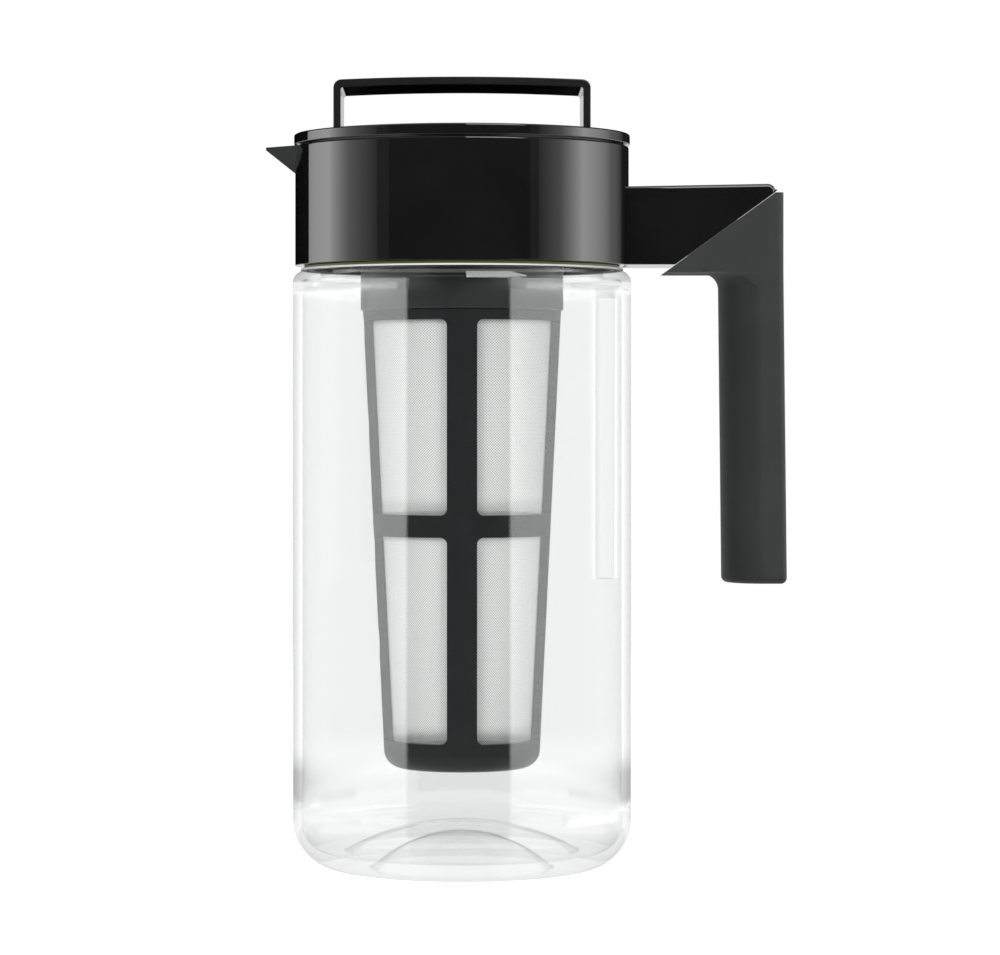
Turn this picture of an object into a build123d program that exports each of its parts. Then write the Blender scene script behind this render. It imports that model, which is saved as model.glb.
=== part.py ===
from build123d import *
import os

# Cold brew coffee maker: a clear jug, a black collar with its pouring spout and side
# handle, and a screw-in lid that carries a strap handle and a hanging mesh filter.
# All sizes are in millimetres. The origin is the centre of the ring that the jug stands
# on. +Z is up, +X points to the handle and -X to the spout.

# Clear jug
JUG_R = 45.0
JUG_WALL = 2.4
JUG_H = 158.8
JUG_SHOULDER_ROUND = 3.3
JUG_FOOT_ROUND = 12.7
JUG_FLOOR_Z = 4.7
JUG_INNER_ROUND = 6.5
STAND_RING_WIDTH = 8.3
STAND_RING_ROUND = 2.5
PUNT_OUT_H = 9.6
PUNT_IN_R = 31.0
PUNT_IN_H = 8.0
SHOULDER_WIDTH = 5.0
NECK_H = 13.2
SNAP_BEAD = 0.45
SNAP_BEAD_H = 2.0
SNAP_BEAD_BELOW_RIM = 5.0

# Ring gasket between the jug's shoulder and the collar
NECK_GASKET_H = 1.2
NECK_GASKET_IN_GAP = 0.3
NECK_GASKET_WIDTH = 1.7

# Collar
COLLAR_INSET = 0.6
COLLAR_H = 31.6
COLLAR_EDGE = 0.5
COLLAR_WALL = 2.8
NECK_FIT = 0.15
RIM_GAP = 0.2
LAND_H = 3.0
MOUTH_WALL = 1.4
MOUTH_DEPTH = 2.0

# Pouring spout
SPOUT_REACH = 7.8
SPOUT_HALF_WIDTH = 11.5
SPOUT_DROP = 6.9
SPOUT_KEEL = 1.6
SPOUT_TIP_DROP = 0.7
SPOUT_WALL = 1.6
SPOUT_ROOT_INSET = 3.4

# Handle arm, moulded with the collar
ARM_LENGTH = 38.1
ARM_HALF_WIDTH = 13.0
ARM_ROOT_H = 20.6
ARM_END_H = 21.3
ARM_CORNER = 2.0
ARM_EDGE = 0.8
SEAM_START = 10.1
SEAM_START_DROP = 1.2
SEAM_END_INSET = 0.2
SEAM_END_DROP = 2.4
SEAM_GAP = 0.1

# Soft grip
GRIP_STEP = 2.2
GRIP_THICK = 16.5
GRIP_LENGTH = 82.1
GRIP_TOE_H = 0.8
GRIP_HEAD_STEP = 0.1
GRIP_NOSE = 10.5
GRIP_FLARE = 4.2
GRIP_LEAN = 0.9
GRIP_OUTER_EDGE = 1.4
GRIP_BOTTOM_EDGE = 1.6

# Rigid core of the handle
CORE_WALL = 3.0
CORE_HALF_WIDTH = 7.5
CORE_TENON_BEYOND_SEAM = 4.5
CORE_TENON_RISE = 3.0
CORE_TENON_H = 9.0
CORE_BOTTOM_GAP = 4.0
CORE_FIT = 0.1

# Lid
LID_OVERHANG = 0.3
LID_GAP = 0.5
LID_H = 2.8
LID_EDGE = 0.5
SPIGOT_H = 2.5
SPIGOT_WALL = 1.1
SPIGOT_FIT = 0.15
RUNNING_GAP = 0.3
LID_RISE = 3.2

# Plug under the lid
PLUG_WALL = 2.2
PLUG_GAP = 1.0
BAND_GAP = 0.9
BEAD_H = 1.5
PLUG_FLANGE_H = 2.4
PLUG_GROOVE_DEPTH = 1.6
PLUG_GASKET_H = 2.5
RIM_GASKET_H = 1.6

# Strap handle on the lid
BAIL_CORNER_GAP = 0.35
BAIL_HALF_DEPTH = 14.75
BAIL_THICK = 1.95
BAIL_H = 14.4
BAIL_ARCH = 0.8
BAIL_CORNER = 2.2
BAIL_INNER_CORNER = 0.8
BAIL_EDGE = 0.3
BAIL_FIT = 0.15
BAIL_CATCH = 1.2
BAIL_CATCH_H = 2.6

# Filter socket
SOCKET_R = 27.0
SOCKET_H = 21.1
SOCKET_WALL = 2.2
FILTER_GASKET_H = 1.8
FILTER_GASKET_WIDTH = 2.6

# Filter basket, from its foot up
FILTER_SEAM = 0.8
FILTER_STEP = 0.6
FILTER_TAPER = 5.85
FILTER_WALL = 2.2
FILTER_CORNER = 4.8
FILTER_FLOOR_GAP = 14.0
FILTER_FOOT_H = 7.5
MIDDLE_RING_H = 5.8
UPPER_WINDOW_H = 51.1
TOP_RING_H = 2.6
FILTER_LIP_H = 1.6
RIB_COUNT = 4
RIB_WIDTH = 7.8
WINDOW_ROUND = 1.7
MESH_THICK = 0.35
MESH_FIT = 0.15
MESH_OVERLAP = 2.0

# Radii that follow from the sizes above
STAND_RING_R = JUG_R - JUG_FOOT_ROUND - STAND_RING_WIDTH
NECK_R = JUG_R - SHOULDER_WIDTH
COLLAR_R = JUG_R - COLLAR_INSET
CHAMBER_R = COLLAR_R - COLLAR_WALL
MOUTH_R = COLLAR_R - MOUTH_WALL
LAND_R = NECK_R - JUG_WALL
LID_R = COLLAR_R + LID_OVERHANG
BAND_R = CHAMBER_R - BAND_GAP
BEAD_R = CHAMBER_R - RUNNING_GAP
PLUG_R = LAND_R - PLUG_GAP
SPIGOT_R = BAND_R - PLUG_WALL - SPIGOT_FIT
LEG_CORNER_R = SPIGOT_R - SPIGOT_WALL - BAIL_CORNER_GAP
BAIL_HALF_SPAN = (LEG_CORNER_R**2 - BAIL_HALF_DEPTH**2) ** 0.5
SOCKET_BORE_R = SOCKET_R - SOCKET_WALL
FILTER_NECK_R = SOCKET_BORE_R - RUNNING_GAP
FILTER_TOP_R = SOCKET_R - FILTER_STEP
FILTER_LOW_R = FILTER_TOP_R - FILTER_TAPER

# Heights that follow
NECK_RIM_Z = JUG_H + NECK_H
COLLAR_Z = JUG_H + NECK_GASKET_H
COLLAR_TOP_Z = COLLAR_Z + COLLAR_H
LAND_Z = NECK_RIM_Z + RIM_GAP
LAND_TOP_Z = LAND_Z + LAND_H
LEDGE_Z = COLLAR_TOP_Z - MOUTH_DEPTH
LID_Z = COLLAR_TOP_Z + LID_GAP
LID_TOP_Z = LID_Z + LID_H
BAIL_TOP_Z = LID_TOP_Z + BAIL_H
FLANGE_TOP_Z = LAND_Z
PLUG_GASKET_Z = FLANGE_TOP_Z + RUNNING_GAP
PLUG_FLOOR_Z = FLANGE_TOP_Z - PLUG_FLANGE_H
SOCKET_BOTTOM_Z = PLUG_FLOOR_Z - SOCKET_H
FILTER_SHOULDER_Z = SOCKET_BOTTOM_Z - FILTER_SEAM
FILTER_GASKET_Z = PLUG_FLOOR_Z - RUNNING_GAP - FILTER_GASKET_H
FILTER_RIM_Z = FILTER_GASKET_Z - RUNNING_GAP
FILTER_BOTTOM_Z = JUG_FLOOR_Z + PUNT_IN_H + FILTER_FLOOR_GAP
LOWER_WINDOW_Z = FILTER_BOTTOM_Z + FILTER_FOOT_H
UPPER_WINDOW_Z = FILTER_SHOULDER_Z - TOP_RING_H - UPPER_WINDOW_H
LOWER_WINDOW_H = UPPER_WINDOW_Z - MIDDLE_RING_H - LOWER_WINDOW_Z

# Places of the handle, from the collar
ARM_END_X = COLLAR_R + ARM_LENGTH
SEAM_LOW_X = COLLAR_R + SEAM_START
SEAM_LOW_Z = COLLAR_Z - SEAM_START_DROP
SEAM_HIGH_X = ARM_END_X - SEAM_END_INSET
SEAM_HIGH_Z = COLLAR_Z + ARM_END_H - SEAM_END_DROP
SEAM_SLOPE = (SEAM_HIGH_Z - SEAM_LOW_Z) / (SEAM_HIGH_X - SEAM_LOW_X)
GRIP_OUTER_X = ARM_END_X + GRIP_STEP
GRIP_INNER_X = GRIP_OUTER_X - GRIP_THICK
GRIP_UNDERSIDE_Z = SEAM_LOW_Z - GRIP_TOE_H
GRIP_BOTTOM_Z = GRIP_UNDERSIDE_Z - GRIP_LENGTH
GRIP_TOP_Z = SEAM_HIGH_Z + GRIP_HEAD_STEP
CORE_TENON_X = SEAM_LOW_X - CORE_TENON_BEYOND_SEAM
CORE_TENON_LOW_Z = COLLAR_Z + CORE_TENON_RISE
CORE_TENON_HIGH_Z = CORE_TENON_LOW_Z + CORE_TENON_H


def turned(section):
    """Solid of revolution about the jug's axis from a half-section in radius and height."""
    return revolve(Plane.XZ * section, Axis.Z)


def outline(*points):
    """Closed flat outline through its corner points."""
    return make_face(Polyline(*points, close=True))


def rounded(face, corner, radius):
    """The outline with the corner nearest to the given place rounded off."""
    return fillet(face.vertices().sort_by_distance(Vector(*corner))[0], radius)


def ring(inner_r, outer_r, low_z, high_z):
    """Plain ring of rectangular section about the jug's axis."""
    return turned(outline((inner_r, low_z), (outer_r, low_z), (outer_r, high_z), (inner_r, high_z)))


def side_plate(face, half_width):
    """A side-view outline given its width, evenly to both sides of the centre plane."""
    return extrude(Plane.XZ * face, half_width, both=True)


def dome(base_r, height, base_z):
    """Spherical cap that stands on a circle."""
    ball_r = (base_r**2 + height**2) / (2 * height)
    ball = Pos(0, 0, base_z + height - ball_r) * Sphere(ball_r)
    above = Box(2 * base_r, 2 * base_r, height, align=(Align.CENTER, Align.CENTER, Align.MIN))
    return ball & (Pos(0, 0, base_z) * above)


def pitcher_body():
    """Clear jug: a straight wall, a flat shoulder and an upright neck over a domed base."""
    outer = outline((0, 0), (JUG_R, 0), (JUG_R, JUG_H), (NECK_R, JUG_H),
                    (NECK_R, NECK_RIM_Z), (0, NECK_RIM_Z))
    outer = rounded(outer, (JUG_R, 0), JUG_FOOT_ROUND)
    outer = rounded(outer, (JUG_R, JUG_H), JUG_SHOULDER_ROUND)
    inner_r = JUG_R - JUG_WALL
    ceiling_z = JUG_H - JUG_WALL
    bore_r = NECK_R - JUG_WALL
    inner = outline((0, JUG_FLOOR_Z), (inner_r, JUG_FLOOR_Z), (inner_r, ceiling_z),
                    (bore_r, ceiling_z), (bore_r, NECK_RIM_Z + 1), (0, NECK_RIM_Z + 1))
    inner = rounded(inner, (inner_r, JUG_FLOOR_Z), JUG_INNER_ROUND)
    inner = rounded(inner, (inner_r, ceiling_z), max(JUG_SHOULDER_ROUND - JUG_WALL, 0.5))
    shell = turned(outer) - dome(STAND_RING_R, PUNT_OUT_H, 0)
    shell = fillet(shell.edges().filter_by(GeomType.CIRCLE).sort_by_distance((0, STAND_RING_R, 0))[0],
                   STAND_RING_ROUND)
    hollow = turned(inner) - dome(PUNT_IN_R, PUNT_IN_H, JUG_FLOOR_Z)
    bead_z = NECK_RIM_Z - SNAP_BEAD_BELOW_RIM
    bead = outline((NECK_R - 1, bead_z), (NECK_R, bead_z), (NECK_R + SNAP_BEAD, bead_z + SNAP_BEAD),
                   (NECK_R + SNAP_BEAD, bead_z + SNAP_BEAD_H / 2), (NECK_R - 1, bead_z + SNAP_BEAD_H))
    return shell - hollow + turned(bead)


def neck_gasket():
    """Thin ring that the collar presses onto the jug's shoulder."""
    inner_r = NECK_R + NECK_GASKET_IN_GAP
    return ring(inner_r, inner_r + NECK_GASKET_WIDTH, JUG_H, COLLAR_Z)


def collar_ring():
    """Collar wall with its bore for the neck, the sealing land and the stepped mouth."""
    bore_r = NECK_R + NECK_FIT
    section = outline((bore_r, COLLAR_Z), (COLLAR_R, COLLAR_Z), (COLLAR_R, COLLAR_TOP_Z),
                      (MOUTH_R, COLLAR_TOP_Z), (MOUTH_R, LEDGE_Z), (CHAMBER_R, LEDGE_Z),
                      (CHAMBER_R, LAND_TOP_Z), (LAND_R, LAND_TOP_Z), (LAND_R, LAND_Z), (bore_r, LAND_Z))
    section = rounded(section, (COLLAR_R, COLLAR_TOP_Z), COLLAR_EDGE)
    section = rounded(section, (COLLAR_R, COLLAR_Z), COLLAR_EDGE)
    groove_r = bore_r + SNAP_BEAD
    groove_z = NECK_RIM_Z - SNAP_BEAD_BELOW_RIM - RIM_GAP
    return turned(section) - ring(NECK_R - 1, groove_r, groove_z, groove_z + SNAP_BEAD_H + RIM_GAP)


def spout_section(x, half_width, keel_half, top_z, low_z):
    """V-shaped cross-section of the spout with a narrow flat keel, square to the pour."""
    corners = [(x, -half_width, top_z), (x, half_width, top_z), (x, keel_half, low_z), (x, -keel_half, low_z)]
    return Face(Wire.make_polygon([Vector(*corner) for corner in corners]))


def beak(root_x, tip_x, keel_half, top_z, tip_low_z):
    """V-shaped wedge along the spout's slopes, from a root to a narrow tip."""
    run = root_x - tip_x
    slope = (SPOUT_DROP - SPOUT_TIP_DROP) / SPOUT_REACH
    spread = SPOUT_HALF_WIDTH / (SPOUT_REACH + SPOUT_ROOT_INSET)
    root = spout_section(root_x, keel_half + spread * run, keel_half, top_z, tip_low_z - slope * run)
    tip = spout_section(tip_x, keel_half, keel_half / 2, top_z, tip_low_z)
    return Solid.make_loft([root.outer_wire(), tip.outer_wire()], ruled=True)


def spout_solid():
    """Beak that runs from the collar's wall out to a narrow lip."""
    tip_x = -COLLAR_R - SPOUT_REACH
    solid = beak(-COLLAR_R + SPOUT_ROOT_INSET, tip_x, SPOUT_KEEL / 2, COLLAR_TOP_Z,
                 COLLAR_TOP_Z - SPOUT_TIP_DROP)
    return solid - Cylinder(MOUTH_R, 2 * COLLAR_TOP_Z + 2)


def spout_trough():
    """Space that the coffee runs through, from inside the collar to just short of the lip."""
    tip_x = -COLLAR_R - SPOUT_REACH + SPOUT_WALL
    return beak(-CHAMBER_R + SPOUT_ROOT_INSET, tip_x, SPOUT_KEEL / 4, COLLAR_TOP_Z + SPOUT_TIP_DROP,
                COLLAR_TOP_Z - SPOUT_TIP_DROP / 2)


def seam_side(gap=0.0):
    """Everything below the slanting seam, on the grip's side, as a plate across the handle."""
    left_x = SEAM_LOW_X - ARM_LENGTH
    right_x = SEAM_HIGH_X + ARM_LENGTH
    left_z = SEAM_LOW_Z - SEAM_SLOPE * ARM_LENGTH - gap
    right_z = SEAM_HIGH_Z + SEAM_SLOPE * ARM_LENGTH - gap
    return side_plate(outline((left_x, left_z), (right_x, left_z), (right_x, right_z)), 2 * ARM_HALF_WIDTH)


def arm_solid():
    """Box arm that ends in the slanting seam where the soft grip begins."""
    root_x = COLLAR_R - COLLAR_WALL / 2
    face = outline((root_x, COLLAR_Z), (ARM_END_X, COLLAR_Z), (ARM_END_X, COLLAR_Z + ARM_END_H),
                   (root_x, COLLAR_Z + ARM_ROOT_H))
    face = rounded(face, (ARM_END_X, COLLAR_Z + ARM_END_H), ARM_CORNER)
    arm = side_plate(face, ARM_HALF_WIDTH)
    long_edges = [edge for edge in arm.edges()
                  if abs(edge.center().Y) > ARM_HALF_WIDTH - 0.01 and edge.center().X > root_x + 0.01]
    arm = fillet(long_edges, ARM_EDGE)
    return arm - seam_side()


def collar():
    """Collar with its spout and the handle's arm in one moulding."""
    body = collar_ring() + spout_solid() + arm_solid()
    return body - spout_trough() - core_solid(CORE_FIT)


def core_solid(grow=0.0):
    """L-shaped bar; a growth gives the pocket that it sits in, with its clearance."""
    inner_x = GRIP_INNER_X + CORE_WALL - grow
    outer_x = GRIP_OUTER_X - CORE_WALL + grow
    bottom_z = GRIP_BOTTOM_Z + CORE_BOTTOM_GAP - grow
    face = outline((CORE_TENON_X - grow, CORE_TENON_LOW_Z - grow), (inner_x, CORE_TENON_LOW_Z - grow),
                   (inner_x + GRIP_LEAN, bottom_z), (outer_x + GRIP_LEAN, bottom_z),
                   (outer_x - grow, CORE_TENON_HIGH_Z + grow), (CORE_TENON_X - grow, CORE_TENON_HIGH_Z + grow))
    return side_plate(face, CORE_HALF_WIDTH + grow)


def flared_nose():
    """Oval post whose top spreads in a round fillet under a flat plate."""
    nose_x = GRIP_INNER_X + GRIP_NOSE
    plate_size = 4 * (GRIP_NOSE + GRIP_FLARE)
    plate = Pos(nose_x, 0, GRIP_UNDERSIDE_Z) * Box(
        plate_size, plate_size, GRIP_FLARE, align=(Align.CENTER, Align.CENTER, Align.MIN))
    oval = Pos(nose_x, 0, GRIP_UNDERSIDE_Z) * Ellipse(GRIP_NOSE, ARM_HALF_WIDTH)
    lean = Vector(GRIP_LEAN, 0, -GRIP_LENGTH)
    post = plate + extrude(oval, lean.length, dir=lean.normalized())
    root_edges = [edge for edge in post.edges()
                  if abs(edge.center().Z - GRIP_UNDERSIDE_Z) < 0.01
                  and 1 < edge.bounding_box().size.Y < 2 * ARM_HALF_WIDTH + 1]
    return fillet(root_edges, GRIP_FLARE)


def grip_body():
    """Outside of the grip: the wedge under the seam, and the post with its rounded inner side."""
    nose_x = GRIP_INNER_X + GRIP_NOSE
    start_x = GRIP_INNER_X - GRIP_FLARE - 1
    wedge_face = outline((SEAM_LOW_X - GRIP_TOE_H, GRIP_UNDERSIDE_Z), (GRIP_OUTER_X, GRIP_UNDERSIDE_Z),
                         (GRIP_OUTER_X, GRIP_TOP_Z), (SEAM_LOW_X - GRIP_TOE_H, GRIP_TOP_Z))
    wedge = side_plate(wedge_face, ARM_HALF_WIDTH) & seam_side(SEAM_GAP)
    front_face = outline((nose_x, GRIP_UNDERSIDE_Z), (nose_x + GRIP_LEAN, GRIP_BOTTOM_Z),
                         (GRIP_OUTER_X + GRIP_LEAN, GRIP_BOTTOM_Z), (GRIP_OUTER_X, GRIP_UNDERSIDE_Z))
    inner_face = outline((nose_x, GRIP_UNDERSIDE_Z), (nose_x + GRIP_LEAN, GRIP_BOTTOM_Z),
                         (start_x, GRIP_BOTTOM_Z), (start_x, GRIP_UNDERSIDE_Z))
    inner_side = flared_nose() & side_plate(inner_face, ARM_HALF_WIDTH)
    return wedge + side_plate(front_face, ARM_HALF_WIDTH) + inner_side


def grip():
    """Soft sleeve over the handle's core, with softened outer and bottom edges."""
    body = grip_body()
    outer_edges = [edge for edge in body.edges()
                   if abs(edge.center().Y) > ARM_HALF_WIDTH - 0.01
                   and edge.center().X > GRIP_OUTER_X - 0.01
                   and abs(edge.tangent_at(0.5).Z) > 0.9]
    body = fillet(outer_edges, GRIP_OUTER_EDGE)
    body = fillet(body.edges().group_by(Axis.Z)[0], GRIP_BOTTOM_EDGE)
    return body - core_solid(CORE_FIT)


def lid_cover():
    """Round cap of the lid, with a slot for each leg of the strap and a spigot below."""
    cap = Pos(0, 0, LID_Z + LID_H / 2) * Cylinder(LID_R, LID_H)
    cap = fillet(cap.edges().group_by(Axis.Z)[-1], LID_EDGE)
    cap = cap + ring(SPIGOT_R - SPIGOT_WALL, SPIGOT_R, LID_Z - SPIGOT_H, LID_Z)
    leg_x = BAIL_HALF_SPAN - BAIL_THICK / 2
    slot = Box(BAIL_THICK + 2 * BAIL_FIT, 2 * (BAIL_HALF_DEPTH + BAIL_FIT), 4 * LID_H)
    for side in (-1, 1):
        cap = cap - Pos(side * leg_x, 0, LID_Z + LID_H / 2) * slot
    return cap


def bail():
    """Flat strap bent into a low bridge, with a catch at the foot of each leg."""
    foot_z = LID_Z - BAIL_CATCH_H
    end_z = BAIL_TOP_Z - BAIL_ARCH
    span = BAIL_HALF_SPAN
    outer = make_face(Polyline((-span, end_z), (-span, foot_z), (span, foot_z), (span, end_z))
                      + ThreePointArc((span, end_z), (0, BAIL_TOP_Z), (-span, end_z)))
    for side in (-1, 1):
        outer = rounded(outer, (side * span, end_z), BAIL_CORNER)
    inside = span - BAIL_THICK
    inner = make_face(Polyline((-inside, end_z - BAIL_THICK), (-inside, foot_z - 1), (inside, foot_z - 1),
                               (inside, end_z - BAIL_THICK))
                      + ThreePointArc((inside, end_z - BAIL_THICK), (0, BAIL_TOP_Z - BAIL_THICK),
                                      (-inside, end_z - BAIL_THICK)))
    for side in (-1, 1):
        inner = rounded(inner, (side * inside, end_z - BAIL_THICK), BAIL_INNER_CORNER)
    strap = side_plate(outer - inner, BAIL_HALF_DEPTH)
    for side in (-1, 1):
        catch = outline((side * inside, foot_z), (side * (inside - BAIL_CATCH), LID_Z - BAIL_FIT),
                        (side * inside, LID_Z - BAIL_FIT))
        strap = strap + side_plate(catch, BAIL_HALF_DEPTH)
    rims = [edge for edge in strap.edges()
            if abs(edge.center().Y) > BAIL_HALF_DEPTH - 0.01 and edge.center().Z > LID_TOP_Z]
    return fillet(rims, BAIL_EDGE)


def lid_plug():
    """Hollow plug: a band in the collar's mouth, a gasket groove and the filter's socket."""
    band_z = LEDGE_Z - LID_RISE
    bead_z = band_z - BEAD_H
    slope_z = bead_z - (BEAD_R - PLUG_R) / 2
    groove_r = PLUG_R - PLUG_GROOVE_DEPTH
    groove_top_z = PLUG_GASKET_Z + PLUG_GASKET_H + RUNNING_GAP
    floor_top_z = PLUG_FLOOR_Z + PLUG_WALL
    section = outline((BAND_R, LID_Z), (BAND_R, band_z), (BEAD_R, band_z), (BEAD_R, bead_z),
                      (PLUG_R, slope_z), (PLUG_R, groove_top_z), (groove_r, groove_top_z),
                      (groove_r, FLANGE_TOP_Z), (PLUG_R, FLANGE_TOP_Z), (PLUG_R, PLUG_FLOOR_Z),
                      (SOCKET_R, PLUG_FLOOR_Z), (SOCKET_R, SOCKET_BOTTOM_Z), (SOCKET_BORE_R, SOCKET_BOTTOM_Z),
                      (SOCKET_BORE_R, PLUG_FLOOR_Z), (0, PLUG_FLOOR_Z), (0, floor_top_z),
                      (groove_r - PLUG_WALL, floor_top_z), (groove_r - PLUG_WALL, groove_top_z + PLUG_WALL / 2),
                      (PLUG_R - PLUG_WALL, groove_top_z + PLUG_WALL), (PLUG_R - PLUG_WALL, bead_z),
                      (BAND_R - PLUG_WALL, band_z), (BAND_R - PLUG_WALL, LID_Z))
    return turned(section)


def plug_gasket():
    """Ring that closes the gap between the plug and the collar's sealing land."""
    inner_r = PLUG_R - PLUG_GROOVE_DEPTH + RUNNING_GAP
    return ring(inner_r, LAND_R - RUNNING_GAP, PLUG_GASKET_Z, PLUG_GASKET_Z + PLUG_GASKET_H)


def rim_gasket():
    """Ring on the ledge in the collar's mouth, carried up by the plug's bead."""
    low_z = LEDGE_Z + RUNNING_GAP
    return ring(BAND_R + RUNNING_GAP, MOUTH_R - RUNNING_GAP, low_z, low_z + RIM_GASKET_H)


def filter_gasket():
    """Ring on the filter's rim, under the plug's floor."""
    outer_r = FILTER_NECK_R - RUNNING_GAP
    return ring(outer_r - FILTER_GASKET_WIDTH, outer_r, FILTER_GASKET_Z, FILTER_GASKET_Z + FILTER_GASKET_H)


def filter_radius(z):
    """Outer radius of the tapered basket at a height."""
    share = (z - FILTER_BOTTOM_Z) / (FILTER_SHOULDER_Z - FILTER_BOTTOM_Z)
    return FILTER_LOW_R + share * (FILTER_TOP_R - FILTER_LOW_R)


def filter_frame():
    """Basket of four ribs, two tiers of windows, a closed foot and a neck for the socket."""
    floor_z = FILTER_BOTTOM_Z + FILTER_WALL
    lip_z = FILTER_SHOULDER_Z - FILTER_LIP_H
    neck_in_r = FILTER_NECK_R - FILTER_WALL
    section = outline((0, FILTER_BOTTOM_Z), (FILTER_LOW_R, FILTER_BOTTOM_Z), (FILTER_TOP_R, FILTER_SHOULDER_Z),
                      (FILTER_NECK_R, FILTER_SHOULDER_Z), (FILTER_NECK_R, FILTER_RIM_Z),
                      (neck_in_r, FILTER_RIM_Z), (neck_in_r, FILTER_SHOULDER_Z),
                      (filter_radius(lip_z) - FILTER_WALL, lip_z),
                      (filter_radius(floor_z) - FILTER_WALL, floor_z), (0, floor_z))
    section = rounded(section, (FILTER_LOW_R, FILTER_BOTTOM_Z), FILTER_CORNER)
    section = rounded(section, (filter_radius(floor_z) - FILTER_WALL, floor_z), FILTER_CORNER - FILTER_WALL)
    basket = turned(section)
    for low_z, height in ((UPPER_WINDOW_Z, UPPER_WINDOW_H), (LOWER_WINDOW_Z, LOWER_WINDOW_H)):
        window = window_cutter(low_z, height)
        for turn in range(RIB_COUNT):
            basket = basket - Rot(0, 0, turn * 360 / RIB_COUNT) * window
    return basket


def window_cutter(low_z, height):
    """Block that opens one quarter of a tier between two ribs, with rounded corners."""
    reach = 2 * FILTER_TOP_R
    half_rib = RIB_WIDTH / 2
    block = Pos(half_rib, half_rib, low_z) * Box(reach, reach, height, align=(Align.MIN,) * 3)
    corners = [edge for edge in block.edges()
               if abs(edge.tangent_at(0.5).Z) < 0.1
               and min(abs(edge.center().X - half_rib), abs(edge.center().Y - half_rib)) < 0.01]
    return fillet(corners, WINDOW_ROUND)


def filter_mesh():
    """Fine mesh sleeve that lines the basket behind its windows."""
    low_z = LOWER_WINDOW_Z - MESH_OVERLAP
    high_z = FILTER_SHOULDER_Z - FILTER_LIP_H - MESH_FIT
    low_r = filter_radius(low_z) - FILTER_WALL - MESH_FIT
    high_r = filter_radius(high_z) - FILTER_WALL - MESH_FIT
    return turned(outline((low_r - MESH_THICK, low_z), (low_r, low_z), (high_r, high_z),
                          (high_r - MESH_THICK, high_z)))


def handle_core():
    """Rigid bar inside the grip, with a tenon in the arm's pocket."""
    return core_solid()


PIECES = {
    "pitcher_body": pitcher_body,
    "neck_gasket": neck_gasket,
    "collar": collar,
    "handle_core": handle_core,
    "grip": grip,
    "rim_gasket": rim_gasket,
    "plug_gasket": plug_gasket,
    "lid_cover": lid_cover,
    "bail": bail,
    "lid_plug": lid_plug,
    "filter_gasket": filter_gasket,
    "filter_frame": filter_frame,
    "filter_mesh": filter_mesh,
}

os.makedirs("parts", exist_ok=True)
for name, make in PIECES.items():
    piece = make()
    export_step(piece, f"parts/{name}.step")
    print(f"{name}: {piece.volume:.0f} mm3")
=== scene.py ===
# %% [markdown]
# # A cold brew coffee maker
#
# The solids of this coffee maker are packed in one fixed frame, in metres, with +Z up,
# the side handle towards +X and the pouring spout towards -X. This notebook gives every
# piece the shape and the finish that the eye sees: clear moulded plastic, gloss and satin
# black plastic, a soft grip and a fine woven filter. Each step says what the real piece
# is, how it could be made, and why one way was chosen.

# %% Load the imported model
import math

import bmesh
import bpy
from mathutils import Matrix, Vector


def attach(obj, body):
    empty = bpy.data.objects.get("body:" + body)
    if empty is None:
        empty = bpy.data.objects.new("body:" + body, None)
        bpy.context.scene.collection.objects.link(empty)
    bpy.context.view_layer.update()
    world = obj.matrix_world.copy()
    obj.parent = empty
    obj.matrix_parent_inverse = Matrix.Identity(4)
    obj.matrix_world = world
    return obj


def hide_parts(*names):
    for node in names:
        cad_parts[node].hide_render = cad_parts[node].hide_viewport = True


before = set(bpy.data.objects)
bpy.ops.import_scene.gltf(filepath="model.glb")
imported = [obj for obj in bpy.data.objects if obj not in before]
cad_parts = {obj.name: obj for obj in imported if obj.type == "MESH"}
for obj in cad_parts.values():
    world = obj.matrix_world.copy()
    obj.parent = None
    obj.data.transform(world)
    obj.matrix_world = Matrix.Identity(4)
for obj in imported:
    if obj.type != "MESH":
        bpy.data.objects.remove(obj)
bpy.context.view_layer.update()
MM = 0.001
print("nodes:", sorted(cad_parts))

# %% [markdown]
# ## A section, turned
#
# Nearly every piece here is round: the jug, the collar, the lid, its plug and the filter.
# Such a piece could be pieced together from ready-made cylinders and cones, but then every
# inner corner has to be joined by hand. A turned piece needs only half of its section,
# drawn as a line of corners in the plane of radius and height. The corners are rounded
# while they are still points, and then the line is spun once round the axis.

# %% Draw and round a section line
UP = Vector((0, 0, 1))
ACROSS = Vector((0, 1, 0))
WELD = 0.002 * MM


def place(radius, height):
    """Point in the side view, from millimetres."""
    return Vector((radius * MM, 0, height * MM))


def draw_line(mesh, corners, closed=False):
    """Chain of edges through corners given as (radius, height) in millimetres."""
    points = [mesh.verts.new(place(*corner)) for corner in corners]
    for first, second in zip(points, points[1:]):
        mesh.edges.new((first, second))
    if closed:
        mesh.edges.new((points[-1], points[0]))
    return points


def swing(mesh, point, centre_height, degrees, steps):
    """Carry a point round a centre on the axis, and leave an arc of edges behind it."""
    arc = bmesh.ops.spin(mesh, geom=[point], cent=place(0, centre_height), axis=ACROSS,
                         angle=math.radians(degrees), steps=steps)
    return next(item for item in arc["geom_last"] if isinstance(item, bmesh.types.BMVert))


def nearest(mesh, corner):
    """The vertex of the section that lies nearest to a place in millimetres."""
    target = place(*corner)
    return min(mesh.verts, key=lambda vertex: (vertex.co - target).length)


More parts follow.
